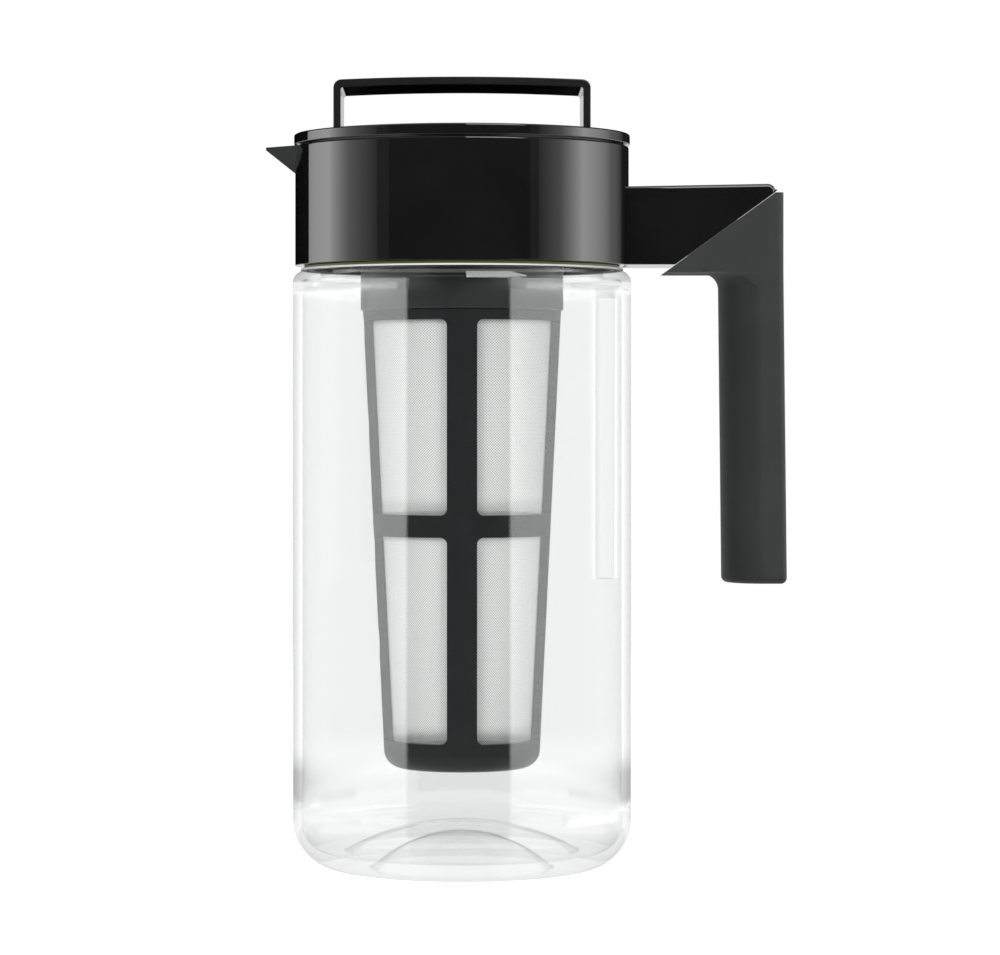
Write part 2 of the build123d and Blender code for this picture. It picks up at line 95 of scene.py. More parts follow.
def round_corner(mesh, corner, radius, segments=6):
    """Round one corner of the section with an arc of a true radius in millimetres."""
    vertex = nearest(mesh, corner)
    ways = [(edge.other_vert(vertex).co - vertex.co).normalized() for edge in vertex.link_edges]
    offset = radius * MM / math.tan(ways[0].angle(ways[1]) / 2)
    bmesh.ops.bevel(mesh, geom=[vertex], affect="VERTICES", offset=offset, offset_type="OFFSET",
                    segments=segments, profile=0.5, material=-1)


def round_corners(mesh, roundings):
    """Round one corner after another, each given as (corner, radius, segments)."""
    for corner, radius, segments in roundings:
        round_corner(mesh, corner, radius, segments)


def turn(mesh, steps):
    """Spin the section round the upright axis, close its seam and poles, and face it outwards."""
    bmesh.ops.spin(mesh, geom=mesh.verts[:] + mesh.edges[:], cent=(0, 0, 0), axis=UP,
                   angle=math.tau, steps=steps, use_merge=True)
    tidy(mesh)


def tidy(mesh):
    """Merge doubled vertices and point every face outwards."""
    bmesh.ops.remove_doubles(mesh, verts=mesh.verts[:], dist=WELD)
    bmesh.ops.recalc_face_normals(mesh, faces=mesh.faces[:])


print("section tools ready")

# %% [markdown]
# ## From a mesh to a piece
#
# A finished mesh becomes an object at the origin, rides on the body that carries it, and
# stands for the solid whose place it takes. Faces are shaded smooth, except across edges
# that are sharper than a set angle, so that rounded rims look round and crisp steps stay
# crisp. Plain smooth shading would also bend the light on the wide faces beside a small
# round, which shows at once in gloss black, so a modifier lets the large faces decide.

# %% Make a piece
CREASE = math.radians(28)


def make_piece(mesh, name, body, finish, replaced=(), crease=CREASE):
    """Turn a bmesh into an object that rides on a body and replaces solids of the frame."""
    data = bpy.data.meshes.new(name)
    mesh.to_mesh(data)
    mesh.free()
    data.shade_smooth()
    data.set_sharp_from_angle(angle=crease)
    piece = bpy.data.objects.new(name, data)
    bpy.context.scene.collection.objects.link(piece)
    data.materials.append(finish.material)
    weighted = piece.modifiers.new("large_faces_decide", "WEIGHTED_NORMAL")
    weighted.mode, weighted.weight, weighted.keep_sharp = "FACE_AREA", 50, True
    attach(piece, body)
    if replaced:
        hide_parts(*replaced)
    low, high = (Vector(map(pick, zip(*(v.co for v in data.vertices)))) / MM for pick in (min, max))
    print(f"{name}: {len(data.polygons)} faces, {low.x:.1f} {low.y:.1f} {low.z:.1f} "
          f"to {high.x:.1f} {high.y:.1f} {high.z:.1f} mm")
    return piece


print("edges sharper than", round(math.degrees(CREASE)), "degrees stay crisp")

# %% [markdown]
# ## Sums on sockets
#
# A finish is a small network of nodes. Written out node by node it is hard to read, so
# one class wraps a socket and lets it be added, multiplied and compared like a number.
# Each sign adds one Math node.

# %% Shader sockets that can be added and multiplied
class Wire:
    """An output socket that behaves like a number in a sum."""

    def __init__(self, network, socket):
        self.network, self.socket = network, socket

    def math(self, operation, *values):
        return self.network.node("Math", {"operation": operation}, dict(enumerate(values)))

    def __add__(self, other):
        return self.math("ADD", self, other)

    def __sub__(self, other):
        return self.math("SUBTRACT", self, other)

    def __rsub__(self, other):
        return self.math("SUBTRACT", other, self)

    def __mul__(self, other):
        return self.math("MULTIPLY", self, other)

    def __truediv__(self, other):
        return self.math("DIVIDE", self, other)

    def __pow__(self, other):
        return self.math("POWER", self, other)

    def __gt__(self, other):
        return self.math("GREATER_THAN", self, other)

    def __lt__(self, other):
        return self.math("LESS_THAN", self, other)

    __radd__ = __add__
    __rmul__ = __mul__

    def __abs__(self):
        return self.math("ABSOLUTE", self)

    def sine(self):
        return self.math("SINE", self)

    def most(self, other):
        return self.math("MAXIMUM", self, other)

    def sibling(self, output):
        """Another output of the node that this socket belongs to."""
        return Wire(self.network, self.socket.node.outputs[output])


print("sums on sockets ready")

# %% Networks of nodes
class Network:
    """A node tree, and one method that adds any node to it."""

    def __init__(self, tree, output_kind):
        self.tree = tree
        self.tree.nodes.clear()
        self.output = self.tree.nodes.new(output_kind)

    def node(self, kind, settings=None, inputs=None, out=0):
        """Add a node, apply its settings, fill or link its sockets, and hand back one output."""
        made = self.tree.nodes.new("ShaderNode" + kind)
        for key, value in (settings or {}).items():
            if key == "stops":
                self.set_stops(made.color_ramp, value)
            else:
                setattr(made, key, value)
        for key, value in (inputs or {}).items():
            if isinstance(value, Wire):
                self.tree.links.new(value.socket, made.inputs[key])
            else:
                made.inputs[key].default_value = value
        return Wire(self, made.outputs[out])

    @staticmethod
    def set_stops(ramp, stops):
        """Give a colour ramp its stops, as (position, grey) pairs."""
        while len(ramp.elements) < len(stops):
            ramp.elements.new(0.5)
        for element, (position, grey) in zip(ramp.elements, stops):
            element.position = position
            element.color = (grey, grey, grey, 1)

    def coordinates(self, kind="Object"):
        return self.node("TexCoord", out=kind)

    def noise(self, scale, detail=2.0, stretch=(1, 1, 1)):
        """Soft random pattern whose grains are about 1/scale metres, drawn out along an axis."""
        spot = self.node("Mapping", {}, {"Vector": self.coordinates(), "Scale": stretch})
        return self.node("TexNoise", {}, {"Vector": spot, "Scale": scale, "Detail": detail})

    def bump(self, height, depth, strength=1.0):
        return self.node("Bump", {}, {"Height": height, "Distance": depth, "Strength": strength})

    def fade(self, value, start, end, first=0.0, last=1.0):
        """A number that goes softly from first to last while a value goes from start to end."""
        return self.node("MapRange", {"interpolation_type": "SMOOTHSTEP"}, {
            "Value": value, "From Min": start, "From Max": end, "To Min": first, "To Max": last})

    def blend_colour(self, share, first, second):
        """Mix two colours by a share from 0 to 1."""
        colours = {0: share, 6: (*first, 1), 7: (*second, 1)}
        return self.node("Mix", {"data_type": "RGBA"}, colours, 2)

    def surface(self, inputs):
        return self.node("BsdfPrincipled", {}, inputs, "BSDF")

    def see_through(self, tint=(1.0, 1.0, 1.0)):
        """Shader that lets light go straight on, with a tint."""
        return self.node("BsdfTransparent", {}, {"Color": (*tint, 1)})

    def mix(self, share, first, second):
        """Change over from one shader to another by a share from 0 to 1."""
        return self.node("MixShader", {}, {0: share, 1: first, 2: second})

    def close(self, shader):
        self.tree.links.new(shader.socket, self.output.inputs["Surface"])
        return self


class Finish(Network):
    """A material, with the name of a slot kept beside it."""

    def __init__(self, name, slot=None):
        self.slot = slot or name
        self.material = bpy.data.materials.new(name)
        self.material.use_nodes = True
        super().__init__(self.material.node_tree, "ShaderNodeOutputMaterial")

    def close(self, shader):
        print("finish", self.material.name, "has", len(self.tree.nodes), "nodes")
        return super().close(shader)


print("networks and finishes ready")

# %% [markdown]
# ## Clear plastic
#
# The jug is a clear copolyester with a polished mould: it bends light like thick glass,
# and where its wall is seen edge-on it turns grey. A glass shader alone would throw a dark
# shadow on the filter, because Cycles doesn't follow light through it to what is inside,
# so shadow rays meet a transparent shader. Slow noise in the roughness stands for the
# slight flow marks of moulding. At the shoulder and the foot, where the wall turns over,
# bent light would carry black from the collar and the dark room all the way round. The
# photograph shows only pale outlines there, so those two zones change over to a film that
# mirrors by angle but lets light go straight on. It also shows a white line under the
# olive ring, so the low lip on the shoulder is mostly a plain pale surface: a painted highlight.

# %% The jug's finish
WALL_TINT, FILM_TINT = (0.960, 0.968, 0.966), (0.984, 0.987, 0.986)
SHADOW_TINT = (0.988, 0.990, 0.990)
BENDING, MIRROR_BLUR = 1.57, 0.02
FLOW_GRAINS, FLOW_ROUGHNESS, FLOW_DEPTH, FLOW_RELIEF = 38, 0.006, 0.04 * MM, 0.10
HEAD_ON_MIRROR, EDGE_MIRROR = 0.05, 0.45
FOOT_ZONE, SHOULDER_ZONE = (19.0, 14.0), (152.0, 155.0)
# Painted highlight: a pale diffuse colour on the shoulder's lip draws the white line under the
# olive ring.
LIP_ZONE_Z, LIP_ZONE_R, LIP_PAINTED_HIGHLIGHT, LIP_HIGHLIGHT_SHARE = 158.75, 41.95, (0.46, 0.46, 0.46, 1), 0.85


def clear_plastic():
    finish = Finish("clear_plastic")
    flow = finish.noise(FLOW_GRAINS, 2.0, (1, 1, 0.35))
    glass = finish.surface({
        "Base Color": (*WALL_TINT, 1), "Roughness": flow * FLOW_ROUGHNESS, "IOR": BENDING,
        "Transmission Weight": 1.0, "Normal": finish.bump(flow, FLOW_DEPTH, FLOW_RELIEF)})
    facing = finish.node("LayerWeight", {}, {"Blend": 0.5}, "Facing")
    mirror_share = facing ** 5 * EDGE_MIRROR + HEAD_ON_MIRROR
    mirror = finish.node("BsdfGlossy", {}, {"Color": (1, 1, 1, 1), "Roughness": MIRROR_BLUR})
    film = finish.mix(mirror_share, finish.see_through(FILM_TINT), mirror)
    spot = finish.coordinates()
    height = finish.node("SeparateXYZ", {}, {0: spot}, "Z")
    low, high = (finish.fade(height, start * MM, end * MM)
                 for start, end in (FOOT_ZONE, SHOULDER_ZONE))
    wall = finish.mix(low.most(high), glass, film)
    level = finish.node("VectorMath", {"operation": "MULTIPLY"}, {0: spot, 1: (1, 1, 0)}, "Vector")
    away = finish.node("VectorMath", {"operation": "LENGTH"}, {0: level}, "Value")
    # The lip's pale diffuse surface is a painted highlight, the white line under the olive ring.
    lip = (height > LIP_ZONE_Z * MM) * (away > LIP_ZONE_R * MM)
    wall = finish.mix(lip * LIP_HIGHLIGHT_SHARE, wall, finish.node("BsdfDiffuse", {}, {"Color": LIP_PAINTED_HIGHLIGHT}))
    shadow_ray = finish.node("LightPath", out="Is Shadow Ray")
    return finish.close(finish.mix(shadow_ray, wall, finish.see_through(SHADOW_TINT)))


CLEAR = clear_plastic()

# %% [markdown]
# ## Black plastics and rubbers
#
# The collar, its arm and the lid are one gloss black plastic that mirrors the studio. The
# strap looks satin, the spout and the filter's frame are duller still, and the grip is
# coated with a soft rubber. One recipe makes them all: a colour that varies a little, a
# roughness with fine smudges, and a grain whose size and depth tell them apart.

# %% One recipe for moulded pieces
SMUDGE_GRAINS = 60


def moulded(name, slot, dark, light, roughness, smudge, grain_size, grain_depth,
            sheen=0.0, level=0.5):
    """Moulded finish: two shades, smudges in the roughness and a fine grain in relief."""
    finish = Finish(name, slot)
    grain = finish.noise(1 / (grain_size * MM), 3.0)
    drift = finish.noise(SMUDGE_GRAINS, 3.0)
    share = finish.node("ValToRGB", {"stops": [(0.35, 0.0), (0.65, 1.0)]}, {0: drift})
    return finish.close(finish.surface({
        "Base Color": finish.blend_colour(share, dark, light),
        "Roughness": drift * (2 * smudge) + (roughness - smudge),
        "Specular IOR Level": level, "Sheen Weight": sheen, "Sheen Roughness": 0.6,
        "Normal": finish.bump(grain, grain_depth * MM)}))


print("smudges are about", round(1 / SMUDGE_GRAINS / MM), "mm wide")

# %% Finishes for every moulded piece
GLOSS = moulded("black_gloss", "black_gloss", (0.0036, 0.0037, 0.0036), (0.0046, 0.0047, 0.0046),
                0.018, 0.006, 2.5, 0.0004)
STRAP_FINISH = moulded("strap_satin", "black_satin", (0.0080, 0.0085, 0.0080),
                       (0.0100, 0.0105, 0.0100), 0.10, 0.02, 0.4, 0.001, level=0.4)
SPOUT_FINISH = moulded("spout_satin", "black_satin", (0.0100, 0.0110, 0.0105),
                       (0.0130, 0.0140, 0.0135), 0.48, 0.03, 0.3, 0.003, level=0.15)
PLUG = moulded("plug_plastic", "plug_plastic", (0.016, 0.018, 0.0175), (0.020, 0.022, 0.0215),
               0.30, 0.04, 0.5, 0.004)
FRAME = moulded("filter_plastic", "filter_plastic", (0.0105, 0.0120, 0.0120),
                (0.0130, 0.0145, 0.0145), 0.42, 0.04, 0.35, 0.0006, level=0.3)
GRIP = moulded("soft_grip", "soft_grip", (0.0085, 0.0100, 0.0095), (0.0115, 0.0130, 0.0125),
               0.55, 0.04, 0.16, 0.012, sheen=0.03, level=0.35)
CORE = moulded("core_plastic", "core_plastic", (0.018, 0.018, 0.018), (0.024, 0.024, 0.024),
               0.45, 0.05, 0.6, 0.010)
OLIVE = moulded("olive_rubber", "olive_rubber", (0.062, 0.077, 0.009), (0.074, 0.090, 0.012),
                0.45, 0.05, 0.3, 0.008)
SEAL = moulded("seal_rubber", "seal_rubber", (0.48, 0.49, 0.47), (0.56, 0.57, 0.55),
               0.42, 0.04, 0.5, 0.006)

# %% [markdown]
# ## The jug
#
# The jug is one clear moulding: a straight wall 2.4 mm thick, a large round at its foot,
# a base pushed up into a dome, and a neck that the collar snaps over. Modelling only the
# outer skin would look like a soap bubble, because light bends at both faces of the wall.
# So the section goes all the way round, up the outside and down the inside, and spinning
# it gives a closed wall. Both domes are arcs that a point leaves behind as it swings. The
# shoulder turns over in an arc that ends at a low lip, just outside the olive ring.

# %% Jug
JUG_R, JUG_H, JUG_WALL = 45.0, 158.8, 2.4
NECK_R, NECK_TOP = 40.0, 172.0
SNAP_Z, SNAP_OUT, SNAP_FLAT, SNAP_HEIGHT = 167.0, 0.45, 1.0, 2.0
FLOOR_Z = 4.7
RING_R, PUNT_H = 24.0, 9.6
INNER_DOME_R, INNER_DOME_H = 31.0, 8.0
SHOULDER_ROUND, SHOULDER_STEPS = 3.3, 10
LIP_R, LIP_WIDTH, LIP_TOP = 42.9, 0.8, 159.2
DOME_STEPS, ROUND_STEPS, JUG_CREASE = 16, 224, math.radians(50)


def dome_centre(base_z, base_r, height):
    """Height of the centre of the ball that a shallow dome is cut from."""
    return base_z + height - (base_r**2 + height**2) / (2 * height)


def dome_sweep(base_r, height):
    """Angle in degrees that a dome's half arc covers, seen from the ball's centre."""
    return math.degrees(2 * math.atan(height / base_r))


def shoulder_arc():
    """Corners of the outside, from the upright wall over the shoulder to the lip."""
    centre_r, centre_z = JUG_R - SHOULDER_ROUND, JUG_H - SHOULDER_ROUND
    end = math.acos((LIP_R - centre_r) / SHOULDER_ROUND)
    angles = [end * step / SHOULDER_STEPS for step in range(SHOULDER_STEPS + 1)]
    return [(centre_r + SHOULDER_ROUND * math.cos(angle),
             centre_z + SHOULDER_ROUND * math.sin(angle)) for angle in angles]


def jug():
    mesh = bmesh.new()
    inner_r, ceiling, bore = JUG_R - JUG_WALL, JUG_H - JUG_WALL, NECK_R - JUG_WALL
    line = draw_line(mesh, [
        (RING_R, 0), (JUG_R, 0), *shoulder_arc(), (LIP_R, LIP_TOP), (LIP_R - LIP_WIDTH, LIP_TOP),
        (LIP_R - LIP_WIDTH, JUG_H), (NECK_R, JUG_H), (NECK_R, SNAP_Z),
        (NECK_R + SNAP_OUT, SNAP_Z + SNAP_OUT), (NECK_R + SNAP_OUT, SNAP_Z + SNAP_FLAT),
        (NECK_R, SNAP_Z + SNAP_HEIGHT), (NECK_R, NECK_TOP), (bore, NECK_TOP), (bore, ceiling),
        (inner_r, ceiling), (inner_r, FLOOR_Z), (INNER_DOME_R, FLOOR_Z)])
    for point, base_z, base_r, height in ((line[0], 0, RING_R, PUNT_H),
                                          (line[-1], FLOOR_Z, INNER_DOME_R, INNER_DOME_H)):
        centre = dome_centre(base_z, base_r, height)
        swing(mesh, point, centre, -dome_sweep(base_r, height), DOME_STEPS)
    round_corners(mesh, [
        ((RING_R, 0), 2.5, 6), ((JUG_R, 0), 12.7, 20), ((NECK_R, JUG_H), 0.3, 3),
        ((NECK_R, NECK_TOP), 0.5, 4), ((bore, NECK_TOP), 0.5, 4), ((bore, ceiling), 1.2, 6),
        ((inner_r, ceiling), 0.9, 6), ((inner_r, FLOOR_Z), 6.5, 14),
        ((INNER_DOME_R, FLOOR_Z), 3.0, 6)])
    turn(mesh, ROUND_STEPS)
    return make_piece(mesh, "jug", "jug", CLEAR, ["pitcher_body"], JUG_CREASE)


jug()

# %% [markdown]
# ## The collar
#
# The collar is a short gloss tube that snaps over the jug's neck. Inside it has a narrow
# land that the plug's gasket seals on, and at its mouth a ledge for the lid's gasket. It
# is turned like the jug. Its top rim is rounded by half a millimetre, which draws a thin
# line of light. Its lower rim stays almost sharp, because the photograph has no line there.

# %% Collar ring
COLLAR_R, COLLAR_LOW, COLLAR_TOP = 44.4, 160.0, 191.6
CHAMBER_R, MOUTH_R, LEDGE = 41.6, 43.0, 189.6
LAND_R, LAND_LOW, LAND_TOP = 37.6, 172.2, 175.2
BORE_R = 40.15


def collar_ring():
    mesh = bmesh.new()
    draw_line(mesh, [
        (BORE_R, COLLAR_LOW), (COLLAR_R, COLLAR_LOW), (COLLAR_R, COLLAR_TOP), (MOUTH_R, COLLAR_TOP),
        (MOUTH_R, LEDGE), (CHAMBER_R, LEDGE), (CHAMBER_R, LAND_TOP), (LAND_R, LAND_TOP),
        (LAND_R, LAND_LOW), (BORE_R, LAND_LOW)], closed=True)
    round_corners(mesh, [
        ((COLLAR_R, COLLAR_TOP), 0.5, 5), ((COLLAR_R, COLLAR_LOW), 0.15, 3),
        ((MOUTH_R, COLLAR_TOP), 0.25, 3), ((CHAMBER_R, LEDGE), 0.25, 3),
        ((LAND_R, LAND_TOP), 0.25, 3), ((BORE_R, COLLAR_LOW), 0.25, 3)])
    turn(mesh, ROUND_STEPS)
    return make_piece(mesh, "collar_ring", "jug", GLOSS, ["collar"])


collar_ring()

# %% [markdown]
# ## Flat outlines with thickness
#
# The handle's arm and the lid's strap are flat outlines in the side view that were given
# a width. The outline starts as one face. Its corners are rounded while it is flat, then
# it is pushed out to both sides, and last its long rims get a small bevel, because a real
# moulding has no razor edge and the bevel is what catches the light.

# %% Make a slab from an outline
TOUCH = 0.001


def flat_face(mesh, corners):
    """One face in the side view through corners in millimetres."""
    return mesh.faces.new([mesh.verts.new(place(*corner)) for corner in corners])


def thicken(mesh, half_width):
    """Push every flat face out to a slab that is even to both sides of the centre plane."""
    bmesh.ops.translate(mesh, verts=mesh.verts[:], vec=ACROSS * (-half_width * MM))
    grown = bmesh.ops.extrude_face_region(mesh, geom=mesh.faces[:], use_keep_orig=True)
    moved = [item for item in grown["geom"] if isinstance(item, bmesh.types.BMVert)]
    bmesh.ops.translate(mesh, verts=moved, vec=ACROSS * (2 * half_width * MM))
    tidy(mesh)


def bevel_edges(mesh, edges, radius, segments=4):
    bmesh.ops.bevel(mesh, geom=edges, affect="EDGES", offset=radius * MM, offset_type="OFFSET",
                    segments=segments, profile=0.5, material=-1)


def rim_edges(mesh, half_width, keep=lambda middle: True):
    """Edges round the two flat sides of a slab, or those whose middle a test keeps."""
    edges = []
    for edge in mesh.edges:
        first, second = (vertex.co / MM for vertex in edge.verts)
        flat = all(abs(abs(point.y) - half_width) < TOUCH for point in (first, second))
        if flat and first.y * second.y > 0 and keep((first + second) / 2):
            edges.append(edge)
    return edges


print("slab tools ready")

# %% [markdown]
# ## The arm
#
# The arm is moulded with the collar and ends in a slanting seam, where the soft grip
# begins. Its top rises slightly towards the outer end, and that corner is rounded. Its
# long rims are rounded too, except along the seam, where they stay almost sharp so that
# arm and grip meet in a fine line. A test on the middle of each edge tells them apart.

# %% Handle arm
ARM_ROOT, ARM_END = COLLAR_R - 1.4, 82.5
ARM_ROOT_TOP, ARM_END_TOP = 180.6, 181.3
SEAM_LOW, SEAM_HIGH = (54.5, 158.8), (82.3, 178.9)
ARM_HALF_WIDTH, ARM_CORNER = 13.0, 2.0
SEAM_NEAR, SEAM_BEVEL, RIM_BEVEL = 0.3, 0.2, 0.8


def seam_x(height):
    """Where the slanting seam is at a height."""
    share = (height - SEAM_LOW[1]) / (SEAM_HIGH[1] - SEAM_LOW[1])
    return SEAM_LOW[0] + share * (SEAM_HIGH[0] - SEAM_LOW[0])


def seam_z(x):
    """How high the slanting seam is at a distance from the axis."""
    share = (x - SEAM_LOW[0]) / (SEAM_HIGH[0] - SEAM_LOW[0])
    return SEAM_LOW[1] + share * (SEAM_HIGH[1] - SEAM_LOW[1])


def on_seam(middle):
    return abs(middle.z - seam_z(middle.x)) < SEAM_NEAR


def on_free_rim(middle):
    return middle.x > ARM_ROOT + 0.1 and not on_seam(middle)


def handle_arm():
    mesh = bmesh.new()
    flat_face(mesh, [(ARM_ROOT, COLLAR_LOW), (seam_x(COLLAR_LOW), COLLAR_LOW),
                     (ARM_END, seam_z(ARM_END)), (ARM_END, ARM_END_TOP), (ARM_ROOT, ARM_ROOT_TOP)])
    round_corner(mesh, (ARM_END, ARM_END_TOP), ARM_CORNER)
    thicken(mesh, ARM_HALF_WIDTH)
    bevel_edges(mesh, rim_edges(mesh, ARM_HALF_WIDTH, on_seam), SEAM_BEVEL, 2)
    bevel_edges(mesh, rim_edges(mesh, ARM_HALF_WIDTH, on_free_rim), RIM_BEVEL)
    return make_piece(mesh, "handle_arm", "jug", GLOSS)


arm = handle_arm()

# %% [markdown]
# ## The grip and its core
#
# The soft grip is moulded over a stiff core that reaches up into the arm. Their shape is
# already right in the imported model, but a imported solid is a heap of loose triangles, and
# each would shade for itself. So the two are copied with their triangles joined. The
# photograph has no mirror image of the handle in the jug, so mirrored rays don't meet the
# arm, the grip or the core.

# %% Grip and core
def merged_copy(node, name, finish):
    """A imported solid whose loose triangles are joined, so that it shades evenly."""
    mesh = bmesh.new()
    mesh.from_mesh(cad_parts[node].data)
    bmesh.ops.remove_doubles(mesh, verts=mesh.verts[:], dist=WELD)
    return make_piece(mesh, name, "jug", finish, [node])


grip, core = merged_copy("grip", "grip_cover", GRIP), merged_copy("handle_core", "core_bar", CORE)
for part in (arm, grip, core):
    part.visible_glossy = False

# %% [markdown]
# ## The spout
#
# The spout is a folded lip: two slopes that meet in a narrow keel, like a paper dart. The
# outside could be a solid wedge with a groove cut in it. It is easier to draw the three
# outer faces as a thin sheet, give the sheet a wall inwards, and slice it level at the
# collar's top.

# %% Pouring spout
SPOUT_TIP_X, SPOUT_ROOT_X = -52.2, -41.0
KEEL_HALF, SPOUT_HALF = 0.8, 11.5
SPOUT_LOW, SPOUT_TIP_LOW = 182.0, 190.9
SPOUT_WALL, SPOUT_CUT = 1.6, 2.0


def pouring_spout():
    mesh = bmesh.new()
    above = COLLAR_TOP + SPOUT_CUT
    root_half = (KEEL_HALF + SPOUT_HALF) * (above - SPOUT_LOW) / (COLLAR_TOP - SPOUT_LOW)
    rows = []
    for x, half, low in ((SPOUT_ROOT_X, root_half, SPOUT_LOW),
                         (SPOUT_TIP_X, KEEL_HALF, SPOUT_TIP_LOW)):
        corners = [(x, -half, above), (x, -KEEL_HALF, low), (x, KEEL_HALF, low), (x, half, above)]
        rows.append([mesh.verts.new(Vector(corner) * MM) for corner in corners])
    for side in range(3):
        mesh.faces.new([rows[0][side], rows[0][side + 1], rows[1][side + 1], rows[1][side]])
    bmesh.ops.recalc_face_normals(mesh, faces=mesh.faces[:])
    bmesh.ops.solidify(mesh, geom=mesh.faces[:], thickness=SPOUT_WALL * MM)
    bmesh.ops.bisect_plane(mesh, geom=mesh.verts[:] + mesh.edges[:] + mesh.faces[:],
                           plane_co=place(0, COLLAR_TOP), plane_no=UP, clear_outer=True)
    bmesh.ops.holes_fill(mesh, edges=[edge for edge in mesh.edges if edge.is_boundary], sides=0)
    tidy(mesh)
    return make_piece(mesh, "pouring_spout", "jug", SPOUT_FINISH)


pouring_spout()

# %% [markdown]
# ## The olive ring
#
# Between the jug's shoulder and the collar lies a thin ring of olive rubber. Only its edge
# shows, as a fine coloured line under the collar.

# %% Neck gasket
OLIVE_BORE_R, OLIVE_R = 40.3, 42.0


def neck_gasket():
    mesh = bmesh.new()
    corners = [(OLIVE_BORE_R, JUG_H), (OLIVE_R, JUG_H),
               (OLIVE_R, COLLAR_LOW), (OLIVE_BORE_R, COLLAR_LOW)]
    draw_line(mesh, corners, closed=True)
    round_corners(mesh, [(corner, 0.25, 3) for corner in corners])
    turn(mesh, ROUND_STEPS)
    return make_piece(mesh, "olive_ring", "jug", OLIVE, ["neck_gasket"])


neck_gasket()

# %% [markdown]
# ## The lid
#
# The cap is a shallow disc with a softly rounded rim. It hides the plug, a hollow turned
# piece that closes the jug: a band fills the collar's mouth, a groove holds the gasket,
# and the long sleeve below it is the socket that the filter screws into. That sleeve is
# the slightly wider skirt seen through the jug above the filter.

# %% Lid cap
LID_R, LID_LOW, LID_TOP = 44.7, 192.1, 194.9
SPIGOT_R, SPIGOT_WALL, SPIGOT_LOW = 38.35, 1.1, 189.6


def lid_cap():
    mesh = bmesh.new()
    inside = SPIGOT_R - SPIGOT_WALL
    draw_line(mesh, [(0, LID_LOW), (inside, LID_LOW), (inside, SPIGOT_LOW), (SPIGOT_R, SPIGOT_LOW),
                     (SPIGOT_R, LID_LOW), (LID_R, LID_LOW), (LID_R, LID_TOP), (0, LID_TOP)])
    round_corners(mesh, [((LID_R, LID_TOP), 0.5, 5), ((LID_R, LID_LOW), 0.2, 3)])
    turn(mesh, ROUND_STEPS)
    return make_piece(mesh, "lid_cap", "lid", GLOSS, ["lid_cover"])


lid_cap()

# %% Plug and socket
PLUG_FLOOR, FLANGE_TOP, GROOVE_TOP = 169.8, 172.2, 175.3
PLUG_R, GROOVE_R, BAND_R, BEAD_R = 36.6, 35.0, 40.7, 41.3
BAND_LOW, BEAD_LOW, FLARE_LOW = 186.4, 184.9, 182.55
SOCKET_R, SOCKET_BORE, SOCKET_LOW = 27.0, 24.8, 148.1
WALL = 2.2


def lid_plug():
    mesh = bmesh.new()
    draw_line(mesh, [
        (0, PLUG_FLOOR), (SOCKET_BORE, PLUG_FLOOR), (SOCKET_BORE, SOCKET_LOW),
        (SOCKET_R, SOCKET_LOW), (SOCKET_R, PLUG_FLOOR), (PLUG_R, PLUG_FLOOR),
        (PLUG_R, FLANGE_TOP), (GROOVE_R, FLANGE_TOP),
        (GROOVE_R, GROOVE_TOP), (PLUG_R, GROOVE_TOP), (PLUG_R, FLARE_LOW), (BEAD_R, BEAD_LOW),
        (BEAD_R, BAND_LOW), (BAND_R, BAND_LOW), (BAND_R, LID_LOW), (BAND_R - WALL, LID_LOW),
        (BAND_R - WALL, BAND_LOW), (PLUG_R - WALL, BEAD_LOW), (PLUG_R - WALL, GROOVE_TOP + WALL),
        (GROOVE_R - WALL, GROOVE_TOP + WALL / 2), (GROOVE_R - WALL, PLUG_FLOOR + WALL),
        (0, PLUG_FLOOR + WALL)])
    round_corners(mesh, [
        ((SOCKET_R, SOCKET_LOW), 0.5, 4), ((SOCKET_R, PLUG_FLOOR), 1.2, 5),
        ((PLUG_R, PLUG_FLOOR), 0.3, 3), ((PLUG_R, FLANGE_TOP), 0.3, 3),
        ((PLUG_R, GROOVE_TOP), 0.3, 3), ((BEAD_R, BEAD_LOW), 0.3, 3)])
    turn(mesh, ROUND_STEPS)
    return make_piece(mesh, "lid_plug_shell", "lid", PLUG, ["lid_plug"])


lid_plug()

# %% [markdown]
# ## The strap
#
# The lid is carried by a flat strap, bent into a low bridge whose top is very slightly
# arched. Its outline is one face between an outer and an inner line. The arch is a huge
# circle, so a point is swung round a centre far below to draw it.

# %% Strap handle
STRAP_HALF_SPAN, STRAP_HALF_DEPTH, STRAP = 33.8237, 14.75, 1.95
STRAP_TOP, STRAP_ARCH, STRAP_FOOT = 209.3, 0.8, 189.5
STRAP_OUTER_BEND, STRAP_INNER_BEND, STRAP_BEVEL = 2.2, 0.8, 0.3


def arch_line(mesh, half_span, top, rise, steps=24):
    """Arc of edges from one end of a shallow arch to the other, as a chain of vertices."""
    start = mesh.verts.new(place(half_span, top - rise))
    centre = dome_centre(top - rise, half_span, rise)
    end = swing(mesh, start, centre, -2 * dome_sweep(half_span, rise), steps)
    chain, seen = [start], {start}
    while chain[-1] is not end:
        following = next(edge.other_vert(chain[-1]) for edge in chain[-1].link_edges
                         if edge.other_vert(chain[-1]) not in seen)
        chain.append(following)
        seen.add(following)
    return chain


